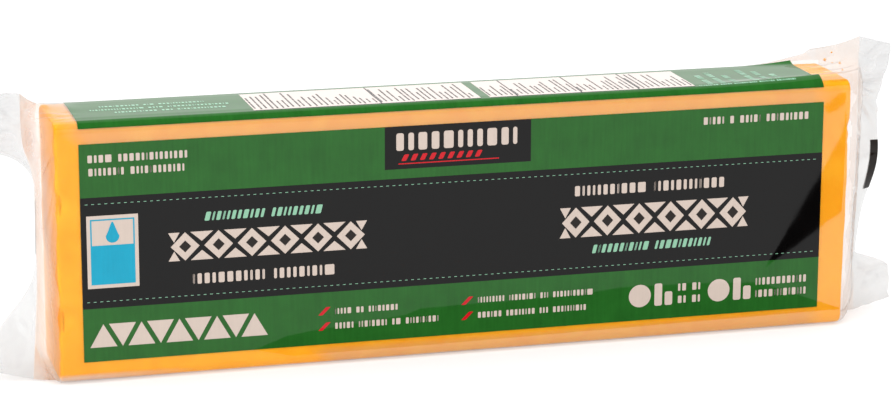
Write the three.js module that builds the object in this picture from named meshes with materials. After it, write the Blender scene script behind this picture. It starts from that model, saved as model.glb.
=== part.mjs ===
// A block of cheddar sealed in a clear bag, standing on its long narrow side.
// X runs along the block, Y goes from its front to its back and Z is up.
// The bag is one solid out to its skin: the block, the film that tents off its ends
// and the flat seals beyond, with their ears. Lengths are in millimetres.

import * as THREE from "three";
import { LoftGeometry } from "three/addons/geometries/LoftGeometry.js";

const { clamp, lerp, smoothstep, degToRad, euclideanModulo } = THREE.MathUtils;

// The block
const BLOCK_LENGTH = 295;
const BLOCK_DEPTH = 38;
const BLOCK_HEIGHT = 94;
const EDGE_RADIUS = 4;
const FLAT_HALF = BLOCK_DEPTH / 2 - EDGE_RADIUS;

// The seals at the bag's two ends
const SEAL_WIDTH = 8.5;
const SEAL_THICKNESS = 0.8;
const LOWER_EAR_REACH = 26.7;
const LOWER_EAR_RISE = 4.1;
const UPPER_EAR_REACH = 25.2;
const UPPER_EAR_DROP = 3.6;
const EAR_BEND = 40;
const WAVE_HEIGHT = 1.1;
const WAVE_LENGTH = 34;

// Where the film turns off the block, and how far it bulges on its way to a seal
const END_TURN = 2;
const WEB_BULGE = 0.4;

// How steeply a tent rises towards the block's end, and the heights between which it
// fades down the back, where the film is drawn up towards the tent's ridge
const TENT_RISE = 1.6;
const TENT_FADE = { from: BLOCK_HEIGHT - 14, to: BLOCK_HEIGHT - 1 };
const BACK_DRAW = 47;

// Each end has the heights between which its seal is folded to the back, its upper ear,
// the seal's distance from the block, how far its foot is drawn to the front under the
// block, and the tents on the block's top. The first tent's ridge runs out to the tip of
// the upper ear.
const LEFT_END = {
  side: -1,
  fold: { from: -5, fullFrom: 39, fullTo: 65.5, to: 90, angle: degToRad(97) },
  ear: { from: 72.5, to: 85, tip: 103.8, lean: 2.4, round: 2.8 },
  web: { open: 8.5, folded: 4, backShift: 3.8, foot: -10.5 },
  toe: 12,
  tents: [{ length: 14, lift: 1.7, ridge: 6, spread: 8 }],
};
const RIGHT_END = {
  side: 1,
  fold: { from: 14, fullFrom: 19.7, fullTo: 20, to: 65.5, angle: degToRad(59) },
  ear: { from: 82.5, to: 104.3, tip: 106.2, lean: 1, round: 0 },
  web: { open: 11.9, folded: 10.7, backShift: 0, foot: -2.5 },
  toe: 2.5,
  tents: [
    { length: 31, lift: 5.1, ridge: 18, spread: 3.5 },
    { length: 60, lift: 2, ridge: -13, spread: 3 },
  ],
};

// Steps along the film's parts, and round half of the section: the base, the lower edge,
// the side, the upper edge and the top
const SEAL_STEPS = 6;
const WEB_STEPS = 6;
const TENT_STEPS = 8;
const BODY_STEPS = 5;
const HALF_STEPS = [5, 4, 24, 4, 7];

// Half of the block's section, from the middle of the base round the back to the middle
// of the top.
function halfSection() {
  const path = new THREE.Path();
  path.moveTo(0, 0);
  path.lineTo(FLAT_HALF, 0);
  path.absarc(FLAT_HALF, EDGE_RADIUS, EDGE_RADIUS, -Math.PI / 2, 0);
  path.lineTo(BLOCK_DEPTH / 2, BLOCK_HEIGHT - EDGE_RADIUS);
  path.absarc(FLAT_HALF, BLOCK_HEIGHT - EDGE_RADIUS, EDGE_RADIUS, 0, Math.PI / 2);
  path.lineTo(0, BLOCK_HEIGHT);
  return path;
}

const HALF_SECTION = halfSection();
const HALF_WAY = HALF_SECTION.getLength();

// The point at a way round the section, up the back and then down the front.
function sectionPoint(anyWay) {
  const way = euclideanModulo(anyWay, 2 * HALF_WAY);
  const side = way > HALF_WAY ? -1 : 1;
  const share = clamp(Math.min(way, 2 * HALF_WAY - way) / HALF_WAY, 0, 1);
  const { x, y } = HALF_SECTION.getPoint(share);
  return { y: side * x, z: y };
}

// The whole ring: each place has its way round, its share of the way up and its face,
// 1 on the back, -1 on the front and 0 in the middle of the base and the top.
function sectionRing() {
  const ways = [0];
  HALF_SECTION.curves.forEach((curve, index) => {
    const start = ways.at(-1);
    for (let step = 1; step <= HALF_STEPS[index]; step += 1) {
      ways.push(start + (curve.getLength() * step) / HALF_STEPS[index]);
    }
  });
  const inner = ways.slice(1, -1);
  return [
    { way: 0, share: 0, face: 0 },
    ...inner.map((way) => ({ way, share: way / HALF_WAY, face: 1 })),
    { way: HALF_WAY, share: 1, face: 0 },
    ...inner.reverse().map((way) => ({ way: 2 * HALF_WAY - way, share: way / HALF_WAY, face: -1 })),
  ];
}

// How far the film is drawn at an end: its top to the main tent's ridge, and its foot.
function drawAt(end) {
  return { ridge: end.tents[0].ridge, toe: end.toe };
}

// A way moved along the top, so that the top's middle comes to a tent's ridge, or along
// the base, so that the base's middle comes to the front by the toe.
function slide(way, draw) {
  const fromTop = Math.abs(way - HALF_WAY) / (way < HALF_WAY ? BACK_DRAW : FLAT_HALF);
  const fromBase = Math.min(way, 2 * HALF_WAY - way) / FLAT_HALF;
  return way - draw.ridge * Math.max(0, 1 - fromTop) - draw.toe * Math.max(0, 1 - fromBase);
}

function nearness(tent, inside) {
  return 1 - Math.min(inside / tent.length, 1);
}

// The film over the block, at a distance inside its end.
function overBlock(end, inside, place, draw = drawAt(end)) {
  const { y, z } = sectionPoint(slide(place.way, draw));
  const upper = smoothstep(z, TENT_FADE.from, TENT_FADE.to);
  let lift = 0;
  for (const tent of end.tents) {
    const across = (y - tent.ridge) / tent.spread;
    lift += tent.lift * nearness(tent, inside) ** TENT_RISE * Math.exp(-(across ** 2)) * upper;
  }
  return new THREE.Vector3(end.side * (BLOCK_LENGTH / 2 - inside), y, z + lift);
}

// The flat seal, at a share of its width from the inner border to the outer edge.
function onSeal(end, across, place) {
  const { fold, ear, web } = end;
  const height = lerp(SEAL_THICKNESS / 2, ear.tip, place.share);
  const lowerEar = 1 - smoothstep(height, fold.from, fold.fullFrom);
  const upperEar = smoothstep(height, ear.from, ear.to);
  const folded = (1 - lowerEar) * (1 - smoothstep(height, fold.fullTo, fold.to));
  const root = lerp(web.open, web.folded, folded);
  const width = SEAL_WIDTH
    + lowerEar * (LOWER_EAR_REACH - web.open - SEAL_WIDTH)
    + upperEar * (UPPER_EAR_REACH - web.open - SEAL_WIDTH);
  const angle = fold.angle * folded;
  const half = across < 1 ? place.face * SEAL_THICKNESS / 2 : 0;
  const along = root + width * across * Math.cos(angle) - half * Math.sin(angle);
  const back = web.backShift * folded
    + web.foot * (1 - smoothstep(height, 0, EAR_BEND))
    + ear.lean * smoothstep(height, ear.tip - EAR_BEND, ear.tip)
    + width * across * Math.sin(angle)
    + half * Math.cos(angle)
    + WAVE_HEIGHT * Math.sin((2 * Math.PI * height) / WAVE_LENGTH) * across;
  const rise = LOWER_EAR_RISE * across * (1 - place.share) ** 4
    - UPPER_EAR_DROP * across * upperEar * place.share
    - ear.round * (1 - across) ** 2 * upperEar * place.share;
  return new THREE.Vector3(end.side * (BLOCK_LENGTH / 2 + along), back, height + rise);
}

// The film from the block to the seal, which leaves the block straight and then turns in.
function webCurve(end, place) {
  const start = overBlock(end, END_TURN, place);
  const turn = overBlock(end, 0, place);
  const finish = onSeal(end, 0, place);
  turn.x = lerp(turn.x, finish.x, WEB_BULGE);
  return new THREE.QuadraticBezierCurve3(start, turn, finish);
}

// One end's sections, from the seal's outer edge in to where its tents start.
function endSections(end, ring) {
  const sections = [];
  for (let step = SEAL_STEPS; step > 0; step -= 1) {
    sections.push(ring.map((place) => onSeal(end, step / SEAL_STEPS, place)));
  }
  const curves = ring.map((place) => webCurve(end, place));
  for (let step = WEB_STEPS; step > 0; step -= 1) {
    sections.push(curves.map((curve) => curve.getPoint(step / WEB_STEPS)));
  }
  for (let step = 0; step <= TENT_STEPS; step += 1) {
    const inside = lerp(END_TURN, tentLength(end), (step / TENT_STEPS) ** TENT_RISE);
    sections.push(ring.map((place) => overBlock(end, inside, place)));
  }
  return sections;
}

function tentLength(end) {
  return Math.max(...end.tents.map((tent) => tent.length));
}

function bodySections(ring) {
  const start = tentLength(LEFT_END) - BLOCK_LENGTH / 2;
  const finish = BLOCK_LENGTH / 2 - tentLength(RIGHT_END);
  const left = drawAt(LEFT_END);
  const right = drawAt(RIGHT_END);
  const sections = [];
  for (let step = 1; step < BODY_STEPS; step += 1) {
    const share = step / BODY_STEPS;
    const inside = BLOCK_LENGTH / 2 - lerp(start, finish, share);
    const draw = { ridge: lerp(left.ridge, right.ridge, share), toe: lerp(left.toe, right.toe, share) };
    sections.push(ring.map((place) => overBlock(RIGHT_END, inside, place, draw)));
  }
  return sections;
}

function sealedPack() {
  const ring = sectionRing();
  const sections = [
    ...endSections(LEFT_END, ring),
    ...bodySections(ring),
    ...endSections(RIGHT_END, ring).reverse(),
  ];
  const material = new THREE.MeshStandardMaterial({ color: 0xf0a030, roughness: 0.25, metalness: 0 });
  const mesh = new THREE.Mesh(new LoftGeometry(sections), material);
  mesh.name = "sealed_pack";
  return mesh;
}

const pack = new THREE.Group();
pack.add(sealedPack());

export default pack;
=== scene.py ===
"""Packed cheddar block: an orange brick of cheddar in clear printed film, on a pale studio floor."""

import math
import random

import bmesh
import bpy
from bpy.props import FloatProperty, FloatVectorProperty, IntProperty, PointerProperty
from mathutils import Matrix, Vector, noise


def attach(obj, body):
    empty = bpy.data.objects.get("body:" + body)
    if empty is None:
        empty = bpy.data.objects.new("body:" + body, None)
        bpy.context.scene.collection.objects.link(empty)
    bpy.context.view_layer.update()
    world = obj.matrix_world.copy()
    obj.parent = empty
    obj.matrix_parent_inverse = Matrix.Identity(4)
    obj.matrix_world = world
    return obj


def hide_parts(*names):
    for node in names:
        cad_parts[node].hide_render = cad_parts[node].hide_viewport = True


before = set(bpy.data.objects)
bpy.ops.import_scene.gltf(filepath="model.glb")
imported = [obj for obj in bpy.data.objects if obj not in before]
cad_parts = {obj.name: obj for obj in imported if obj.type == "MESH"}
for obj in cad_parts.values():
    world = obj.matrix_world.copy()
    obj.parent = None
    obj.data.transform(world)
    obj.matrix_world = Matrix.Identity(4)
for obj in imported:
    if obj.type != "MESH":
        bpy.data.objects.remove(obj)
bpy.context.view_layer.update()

bl_info = {
    "name": "Packed cheddar block",
    "version": (1, 0, 0),
    "blender": (4, 5, 0),
    "location": "3D View > Sidebar > Cheddar",
    "description": "Builds a cheddar block in clear printed film around its CAD frame",
    "category": "Object",
}

MM = 0.001

# Width of the photograph's frame, in pixels
IMAGE_WIDTH = 894

# The film's two ends. As in the solid, each has the heights between which its seal is
# folded to the back, its upper ear, the seal's place, how far its foot is drawn to the
# front and the tents on the block's top, of which the first has its ridge run out to the
# tip of the upper ear. The finer values are how much fuller the free film is at the top,
# the narrow pleats between the tents, the register mark, the rounding of the block's cut
# edge and the creases' seed.
LEFT_END = {
    "side": -1,
    "fold": {
        "from": -5 * MM,
        "full_from": 39 * MM,
        "full_to": 65.5 * MM,
        "to": 90 * MM,
        "angle": math.radians(97),
    },
    "ear": {"from": 72.5 * MM, "to": 85 * MM, "tip": 103.8 * MM, "lean": 2.4 * MM, "round": 2.8 * MM},
    "web": {"open": 8.5 * MM, "folded": 4 * MM, "back_shift": 3.8 * MM, "foot": -10.5 * MM},
    "toe": 12 * MM,
    "swell": 0.0,
    "tents": ({"length": 14 * MM, "lift": 1.7 * MM, "ridge": 6 * MM, "spread": 8 * MM},),
    "pleats": (
        {"length": 9 * MM, "lift": 0.9 * MM, "ridge": -12 * MM, "spread": 1.7 * MM},
        {"length": 11 * MM, "lift": 0.9 * MM, "ridge": -6 * MM, "spread": 1.7 * MM},
    ),
    "mark": {"low": 40 * MM, "high": 60 * MM},
    "cut_radius": 1.3 * MM,
    "seed": 3.7,
}
RIGHT_END = {
    "side": 1,
    "fold": {
        "from": 14 * MM,
        "full_from": 19.7 * MM,
        "full_to": 20 * MM,
        "to": 65.5 * MM,
        "angle": math.radians(59),
    },
    "ear": {"from": 82.5 * MM, "to": 104.3 * MM, "tip": 106.2 * MM, "lean": 1 * MM, "round": 0.0},
    "web": {"open": 11.9 * MM, "folded": 10.7 * MM, "back_shift": 0.0, "foot": -2.5 * MM},
    "toe": 2.5 * MM,
    "swell": 0.35,
    "tents": (
        {"length": 31 * MM, "lift": 5.1 * MM, "ridge": 18 * MM, "spread": 3.5 * MM},
        {"length": 60 * MM, "lift": 2 * MM, "ridge": -13 * MM, "spread": 3 * MM},
    ),
    "pleats": (
        {"length": 9 * MM, "lift": 0.9 * MM, "ridge": -4 * MM, "spread": 1.7 * MM},
        {"length": 11 * MM, "lift": 0.8 * MM, "ridge": 5 * MM, "spread": 1.7 * MM},
    ),
    "mark": {"low": 46 * MM, "high": 66 * MM},
    "cut_radius": 0.6 * MM,
    "seed": 8.2,
}


def linear(code):
    """A colour written as six hexadecimal digits, as the linear values that shaders use."""
    values = [int(code[i : i + 2], 16) / 255 for i in (0, 2, 4)]
    return tuple(v / 12.92 if v <= 0.04045 else ((v + 0.055) / 1.055) ** 2.4 for v in values)


def length_value(name, description, default):
    return FloatProperty(name=name, description=description, default=default, unit="LENGTH", precision=5)


def number_value(name, description, default):
    return FloatProperty(name=name, description=description, default=default)


def angle_value(name, description, degrees):
    return FloatProperty(name=name, description=description, default=math.radians(degrees), subtype="ANGLE")


def colour_value(name, description, code):
    return FloatVectorProperty(
        name=name, description=description, default=linear(code), subtype="COLOR", min=0.0, max=1.0
    )


class PackSizes(bpy.types.PropertyGroup):
    """Sizes of the block, its film and the print's layers."""

    length: length_value("Block length", "Length of the cheddar block", 295 * MM)
    depth: length_value("Block depth", "Depth of the block from front to back", 38 * MM)
    height: length_value("Block height", "Height of the block as it stands", 94 * MM)
    edge_radius: length_value("Edge radius", "Rounding of the block's long edges", 4 * MM)
    film_gap: length_value("Film gap", "Distance from the film in to the cheddar", 0.25 * MM)
    end_gap: length_value("End gap", "Distance from the block's end in to the cheddar", 0.1 * MM)
    ink_gap: length_value("Ink gap", "Distance from the film out to the lowest ink", 0.03 * MM)
    ink_step: length_value("Ink step", "Distance between two layers of ink", 0.025 * MM)
    seal_width: length_value("Seal width", "Width of the flat seals", 8.5 * MM)
    seal_gap: length_value("Seal gap", "Distance between the two films in a seal", 0.5 * MM)
    lower_reach: length_value("Lower ear reach", "How far the lower ears stand past the block", 26.7 * MM)
    lower_rise: length_value("Lower ear rise", "How far the lower ears' tips rise", 4.1 * MM)
    upper_reach: length_value("Upper ear reach", "How far the upper ears stand past the block", 25.2 * MM)
    upper_drop: length_value("Upper ear drop", "How far the upper ears' outer corners drop", 3.6 * MM)
    wave_height: length_value("Seal wave", "Height of the seals' slow waves", 1.1 * MM)
    wave_length: length_value("Seal wave length", "Length of the seals' slow waves", 34 * MM)
    ear_bend: length_value("Ear bend", "Height over which an ear bends to the front or back", 40 * MM)
    end_turn: length_value("End turn", "Where the film turns off the block", 1 * MM)
    web_bulge: number_value("Web bulge", "How far the free film bulges", 0.4)
    tent_rise: number_value("Tent rise", "How steeply a tent rises", 1.6)
    tent_fade: length_value("Tent fade", "Height down the back over which a tent fades", 13 * MM)
    back_draw: length_value("Back draw", "How far down the back the film is drawn up", 47 * MM)
    crease: length_value("Crease depth", "Depth of the creases in the free film", 1.2 * MM)
    foot_fold: length_value("Foot fold", "How far the film stands off the lower edge at the left", 0.4 * MM)
    top_ripple: length_value("Top ripple", "How far the film ripples up off the top", 0.2 * MM)
    end_slant: length_value("End slant", "How far the block's right end leans out at the top", 1.1 * MM)


class PackColours(bpy.types.PropertyGroup):
    """Colours of the cheddar, of the inks and of what the film scatters, with the painted sheen and the
    painted warm light on the film.
    """

    cheddar: colour_value("Cheddar", "Colour of the cheddar", "fba410")
    cheddar_pale: colour_value("Pale curd", "Colour of the paler curd in the cheddar", "ffb01e")
    green: colour_value("Green ink", "Colour of the large fields", "215a1f")
    charcoal: colour_value("Charcoal ink", "Colour of the dark band", "060505")
    cream: colour_value("Cream ink", "Colour of the light marks", "c6b6ab")
    pale_green: colour_value("Pale green ink", "Colour of the fine marks in the band", "86b79a")
    blue: colour_value("Blue ink", "Colour of the badge", "0c96b4")
    red: colour_value("Red ink", "Colour of the small slanted marks", "c01420")
    white: colour_value("White ink", "Colour of the panels on the top", "d2c5be")
    black: colour_value("Black ink", "Colour of the dark details and the register marks", "1c1612")
    milk: colour_value("Film haze", "Colour that the seals scatter", "e0e0e0")
    # Haze tinted pink with painted warmth, which stands in for the cheddar's orange light caught in the
    # free film
    haze_with_painted_warmth: colour_value("Film smear", "Colour that the free film by the block scatters", "e0cfc2")
    # Partly the film's own haze where it stands off the cheddar, partly a painted sheen that stands in for
    # the reflection along the long edges and over the top
    edge_haze_and_sheen: colour_value("Film veil", "Colour that the film scatters along the block's long edges", "b0aca4")
    # A painted warm glow that stands in for the cheddar's light in the film beside the block's left end
    glow: colour_value("Film glow", "Colour that the film scatters by the block's left end", "e8b88e")


class StageSettings(bpy.types.PropertyGroup):
    """The camera and the studio."""

    azimuth: angle_value("Azimuth", "Camera's turn round the pack", -15.582)
    elevation: angle_value("Elevation", "Camera's height angle", 14.221)
    roll: angle_value("Roll", "Camera's turn about its own axis", 0.191)
    distance: length_value("Distance", "From the camera to the point it looks at", 1103.1 * MM)
    aim: FloatVectorProperty(
        name="Aim",
        description="The point that the camera looks at",
        default=(-1.49 * MM, 0.0, 50.64 * MM),
        subtype="TRANSLATION",
    )
    focal_pixels: number_value("Focal length", "Focal length in pixels of the frame", 3014.8)
    sensor: number_value("Sensor", "Sensor width in millimetres", 36.0)
    surround: number_value("Surround", "Brightness of the white surround", 0.75)
    floor: colour_value("Floor", "Colour of the floor", "b8b8b8")
    floor_glow: number_value("Floor glow", "Light from under the floor", 0.45)


def sizes_of(context):
    return context.scene.cheddar_sizes


def colours_of(context):
    return context.scene.cheddar_colours


def mix(a, b, share):
    return a + (b - a) * share


def smooth(value, start, finish):
    share = min(max((value - start) / (finish - start), 0.0), 1.0)
    return share * share * (3 - 2 * share)


# The film's shape

# The film's wrinkles. A tent has its full height from a little below the block's top and
# crumples near the block's end, the top ripples between its long edges, and at the left the
# film stands off the lower edge. Creases fan out over the ears and the free film from the
# block's nearer corner, in shares of the way up and of the way out. Scales, drifts and counts
# are those of the noise that draws them.
TENT_TOP = 1 * MM
CRUMPLE = {"from": 0.8, "height": 0.3, "across": 1.5, "along": 3}
RIPPLE = {"along": 14, "across": 80, "fade_from": 11 * MM, "fade_to": 15 * MM}
LOOSE_FOOT = {
    "from": 98 * MM, "to": 132 * MM, "high": 3.4 * MM, "edge": 0.8 * MM, "wander": 0.6 * MM, "scale": 90,
}
WIDE_CREASE = 4
FINE_CREASE = 3
CREASE_MEAN = 0.5
SEAL_FAN = {
    "corners": (0.1, 0.84), "spread": 0.5, "wide": 11, "wide_drift": 0.5,
    "fine": 36, "fine_drift": 1.0, "fine_height": 0.7, "fine_seed": 5, "onset": 3,
}
WEB_FAN = {
    "corners": (0.12, 0.86), "spread": 0.25, "wide": 12, "wide_drift": 0.6,
    "fine": 34, "fine_drift": 0.6, "fine_height": 0.6, "from": 0.1, "full": 0.4, "onset": 12,
}

# The height of a seal's foot, the stretch above a register mark over which creases set in,
# and the power by which a lower ear rises
SEAL_FOOT = 0.4 * MM
MARK_CLEARANCE = 15 * MM
LOWER_EAR_CURVE = 4


class Section:
    """The block's section, by the way round it from the middle of the base up the front."""

    def __init__(self, sizes):
        self.half_depth = sizes.depth / 2
        self.height = sizes.height
        self.radius = sizes.edge_radius
        self.flat = self.half_depth - self.radius
        self.arc = self.radius * math.pi / 2
        self.side = self.height - 2 * self.radius
        self.half = 2 * self.flat + 2 * self.arc + self.side
        self.whole = 2 * self.half
        self.back_draw = sizes.back_draw

    def on_front(self, height):
        """The way round to a height on the front face."""
        return self.flat + self.arc + height - self.radius

    def on_top(self, y):
        """The way round to a place on the top face."""
        return self.half + y

    def slide(self, way, ridge, toe):
        """A way moved along the top, whose middle comes to a ridge, or along the base by a toe."""
        from_top = abs(way - self.half) / (self.flat if way < self.half else self.back_draw)
        from_base = min(way, self.whole - way) / self.flat
        return way + ridge * max(0.0, 1 - from_top) + toe * max(0.0, 1 - from_base)

    def point(self, way):
        """A way's place y and z, outward normal, share of the way up and face, -1 on the front."""
        way = way % self.whole
        face = -1.0
        if way > self.half:
            way = self.whole - way
            face = 1.0
        share = way / self.half
        rest = way
        if rest <= self.flat:
            return face * rest, 0.0, (0.0, -1.0), share, face
        rest -= self.flat
        if rest <= self.arc:
            turn = rest / self.radius
            y = self.flat + self.radius * math.sin(turn)
            z = self.radius - self.radius * math.cos(turn)
            return face * y, z, (face * math.sin(turn), -math.cos(turn)), share, face
        rest -= self.arc
        if rest <= self.side:
            return face * self.half_depth, self.radius + rest, (face, 0.0), share, face
        rest -= self.side
        if rest <= self.arc:
            turn = rest / self.radius
            y = self.flat + self.radius * math.cos(turn)
            z = self.height - self.radius + self.radius * math.sin(turn)
            return face * y, z, (face * math.cos(turn), math.sin(turn)), share, face
        rest -= self.arc
        return face * (self.flat - rest), self.height, (0.0, 1.0), share, face

    def steps(self, base_steps, arc_steps, side_steps, top_steps):
        """Ways round the whole section, even on each stretch, starting and ending at the base."""
        ways = [0.0]
        stretches = [(self.flat, base_steps), (self.arc, arc_steps), (self.side, side_steps)]
        stretches += [(self.arc, arc_steps), (self.flat, top_steps)]
        for stretch, count in stretches + stretches[::-1]:
            start = ways[-1]
            ways += [start + stretch * (i + 1) / count for i in range(count)]
        return ways


def crease_line(across, seed, along, narrow):
    """A crease pattern, 1 along the creases and 0 between them; a larger narrow thins them."""
    return max(0.0, 1 - narrow * abs(noise.noise(Vector((across, seed, along)))))


def fan_creases(fan, share, out, wide_seed, fine_seed):
    """Wide and fine creases that fan out from the block's nearer corner, above and below 0."""
    low_corner, high_corner = fan["corners"]
    corner = high_corner if share > 0.5 else low_corner
    across = (share - corner) / (out + fan["spread"])
    wide = crease_line(across * fan["wide"], wide_seed, out * fan["wide_drift"], WIDE_CREASE)
    fine = crease_line(across * fan["fine"], fine_seed, out * fan["fine_drift"], FINE_CREASE)
    return wide + fan["fine_height"] * fine - CREASE_MEAN


def longest_tent(end):
    return max(tent["length"] for tent in end["tents"])


def nearness(sizes, tent, x):
    """How near a place is to the block's end: 0 where a tent starts and 1 at the end."""
    return 1 - min((sizes.length / 2 - abs(x)) / tent["length"], 1.0)


def looseness(x, z):
    """How loose the film is along the lower edge, which is at the left end only."""
    wave = LOOSE_FOOT["wander"] * noise.noise(Vector((x * LOOSE_FOOT["scale"], 0.0, 0.0)))
    border = (LOOSE_FOOT["high"] + wave) * smooth(-x, LOOSE_FOOT["from"], LOOSE_FOOT["to"])
    return 1 - smooth(z, border - LOOSE_FOOT["edge"], border)


def crumpled(end, across, near):
    """How much a tent is crumpled, which is close to the block's end only."""
    line = crease_line(across * CRUMPLE["across"], end["seed"], near * CRUMPLE["along"], FINE_CREASE)
    return line * smooth(near, CRUMPLE["from"], 1.0)


def film_on_block(sizes, section, x, way, outside=0.0):
    """The film over the block, moved outwards by a small distance."""
    end = LEFT_END if x < 0 else RIGHT_END
    y, z, normal, _, _ = section.point(way)
    full_tent = sizes.height - TENT_TOP
    upper = smooth(z, full_tent - sizes.tent_fade, full_tent)
    lift = 0.0
    for tent in end["tents"] + end["pleats"]:
        across = (y - tent["ridge"]) / tent["spread"]
        near = nearness(sizes, tent, x)
        rise = tent["lift"] * near**sizes.tent_rise
        rise += CRUMPLE["height"] * tent["lift"] * crumpled(end, across, near)
        lift += rise * math.exp(-(across**2)) * upper
    ripple = 0.5 + 0.5 * noise.noise(Vector((x * RIPPLE["along"], y * RIPPLE["across"], 0.0)))
    flat = 1 - smooth(abs(y), RIPPLE["fade_from"], RIPPLE["fade_to"])
    lift += sizes.top_ripple * ripple * upper * flat
    stand_off = outside + sizes.foot_fold * looseness(x, z)
    return Vector((x, y + normal[0] * stand_off, z + lift + normal[1] * outside))


def drawn_film(sizes, section, x, way):
    """The film over the block at a way that is drawn towards the main tents' ridges or the toes."""
    reach = [sizes.length / 2 - longest_tent(side) for side in (LEFT_END, RIGHT_END)]
    share = min(max((x + reach[0]) / (reach[0] + reach[1]), 0.0), 1.0)
    ridge = mix(LEFT_END["tents"][0]["ridge"], RIGHT_END["tents"][0]["ridge"], share)
    toe = mix(LEFT_END["toe"], RIGHT_END["toe"], share)
    return film_on_block(sizes, section, x, section.slide(way, ridge, toe))


def film_on_seal(sizes, section, end, across, way, layer=1.0):
    """The flat seal at a share of its width; layer is 1 on the film and 0 between the two films."""
    _, _, _, share, face = section.point(way)
    fold, ear, web, mark = end["fold"], end["ear"], end["web"], end["mark"]
    height = mix(SEAL_FOOT, ear["tip"], share)
    lower_ear = 1 - smooth(height, fold["from"], fold["full_from"])
    upper_ear = smooth(height, ear["from"], ear["to"])
    folded = (1 - lower_ear) * (1 - smooth(height, fold["full_to"], fold["to"]))
    root = mix(web["open"], web["folded"], folded)
    width = sizes.seal_width
    width += lower_ear * (sizes.lower_reach - web["open"] - sizes.seal_width)
    width += upper_ear * (sizes.upper_reach - web["open"] - sizes.seal_width)
    angle = fold["angle"] * folded
    middle = 0.0 if share in (0.0, 1.0) else face
    half = middle * layer * sizes.seal_gap / 2 if across < 1 else 0.0
    along = root + width * across * math.cos(angle) - half * math.sin(angle)
    back = web["back_shift"] * folded + width * across * math.sin(angle) + half * math.cos(angle)
    back += web["foot"] * (1 - smooth(height, 0.0, sizes.ear_bend))
    back += ear["lean"] * smooth(height, ear["tip"] - sizes.ear_bend, ear["tip"])
    back += sizes.wave_height * math.sin(2 * math.pi * height / sizes.wave_length) * across
    creased = max(lower_ear, smooth(height, mark["high"], mark["high"] + MARK_CLEARANCE))
    creased *= min(across * SEAL_FAN["onset"], 1.0) * (1 - folded)
    creases = fan_creases(SEAL_FAN, share, across, end["seed"], end["seed"] + SEAL_FAN["fine_seed"])
    back += sizes.crease * creased * creases
    rise = sizes.lower_rise * across * (1 - share) ** LOWER_EAR_CURVE
    rise -= sizes.upper_drop * across * upper_ear * share
    rise -= ear["round"] * (1 - across) ** 2 * upper_ear * share
    return Vector((end["side"] * (sizes.length / 2 + along), back, height + rise))


def film_on_web(sizes, section, end, out, way):
    """The film from the block to the seal, which leaves the block straight and then turns in."""
    _, _, _, share, face = section.point(way)
    edge = end["side"] * sizes.length / 2
    start = drawn_film(sizes, section, edge - end["side"] * sizes.end_turn, way)
    turn = drawn_film(sizes, section, edge, way)
    finish = film_on_seal(sizes, section, end, 0.0, way)
    turn.x = mix(turn.x, finish.x, sizes.web_bulge + end["swell"] * min(start.z / sizes.height, 1.0))
    place = start * (1 - out) ** 2 + turn * 2 * out * (1 - out) + finish * out**2
    room = smooth(out, WEB_FAN["from"], WEB_FAN["full"]) * (1 - out) ** 0.5
    room *= min(min(share, 1 - share) * WEB_FAN["onset"], 1.0)
    creases = fan_creases(WEB_FAN, share, out, end["seed"] + face, end["seed"] - face)
    place.y += face * sizes.crease * room * creases
    return place


# Small helpers for making pieces

def finish_piece(bm, name, materials, shade_smooth=True):
    """Makes a bmesh an object that rides on the pack's one body."""
    mesh = bpy.data.meshes.new(name)
    for face in bm.faces:
        face.smooth = shade_smooth
    bm.to_mesh(mesh)
    bm.free()
    for material in materials:
        mesh.materials.append(material)
    piece = bpy.data.objects.new(name, mesh)
    bpy.context.collection.objects.link(piece)
    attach(piece, "root")
    return piece


def round_off(bm, geom, radius, segments, affect):
    """Rounds edges or corners off."""
    bmesh.ops.bevel(
        bm,
        geom=geom,
        offset=radius,
        offset_type="OFFSET",
        segments=segments,
        profile=0.5,
        affect=affect,
        material=-1,
    )


# Small helpers for making materials

NUMBER = "NodeSocketFloat"
COLOUR = "NodeSocketColor"


def new_material(name):
    """A material with its nodes cleared, and its tree."""
    material = bpy.data.materials.new(name)
    material.use_nodes = True
    material.node_tree.nodes.clear()
    return material, material.node_tree


def opaque(colour):
    """A colour with its alpha, as node sockets hold it."""
    return (*colour, 1.0)


def plug(tree, value, socket):
    """Links an output to a socket, or sets the socket's own value."""
    if isinstance(value, bpy.types.NodeSocket):
        tree.links.new(value, socket)
    else:
        socket.default_value = value


def add_node(tree, kind, **values):
    """A node with its inputs fed by name, spaces written as underscores."""
    node = tree.nodes.new(kind)
    for name, value in values.items():
        plug(tree, value, node.inputs[name.replace("_", " ")])
    return node


def object_place(tree):
    return tree.nodes.new("ShaderNodeTexCoord").outputs["Object"]


def calculate(tree, operation, *values, clamp=False):
    """A Math node's result."""
    node = tree.nodes.new("ShaderNodeMath")
    node.operation = operation
    node.use_clamp = clamp
    for value, socket in zip(values, node.inputs):
        plug(tree, value, socket)
    return node.outputs["Value"]


def ramp(tree, value, start, finish, low=0.0, high=1.0):
    """A number that goes from low to high as a value goes from start to finish."""
    node = add_node(
        tree, "ShaderNodeMapRange", Value=value, From_Min=start, From_Max=finish, To_Min=low, To_Max=high
    )
    return node.outputs["Result"]


def blend(tree, kind, share, first, second):
    """A mix of two numbers (FLOAT) or two colours (RGBA)."""
    node = tree.nodes.new("ShaderNodeMix")
    node.data_type = kind
    for name, value in (("Factor", share), ("A", first), ("B", second)):
        plug(tree, value, node.inputs[name])
    return node.outputs["Result"]


def blend_shaders(tree, share, first, second):
    node = tree.nodes.new("ShaderNodeMixShader")
    for value, socket in zip((share, first, second), node.inputs):
        plug(tree, value, socket)
    return node.outputs["Shader"]


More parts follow.
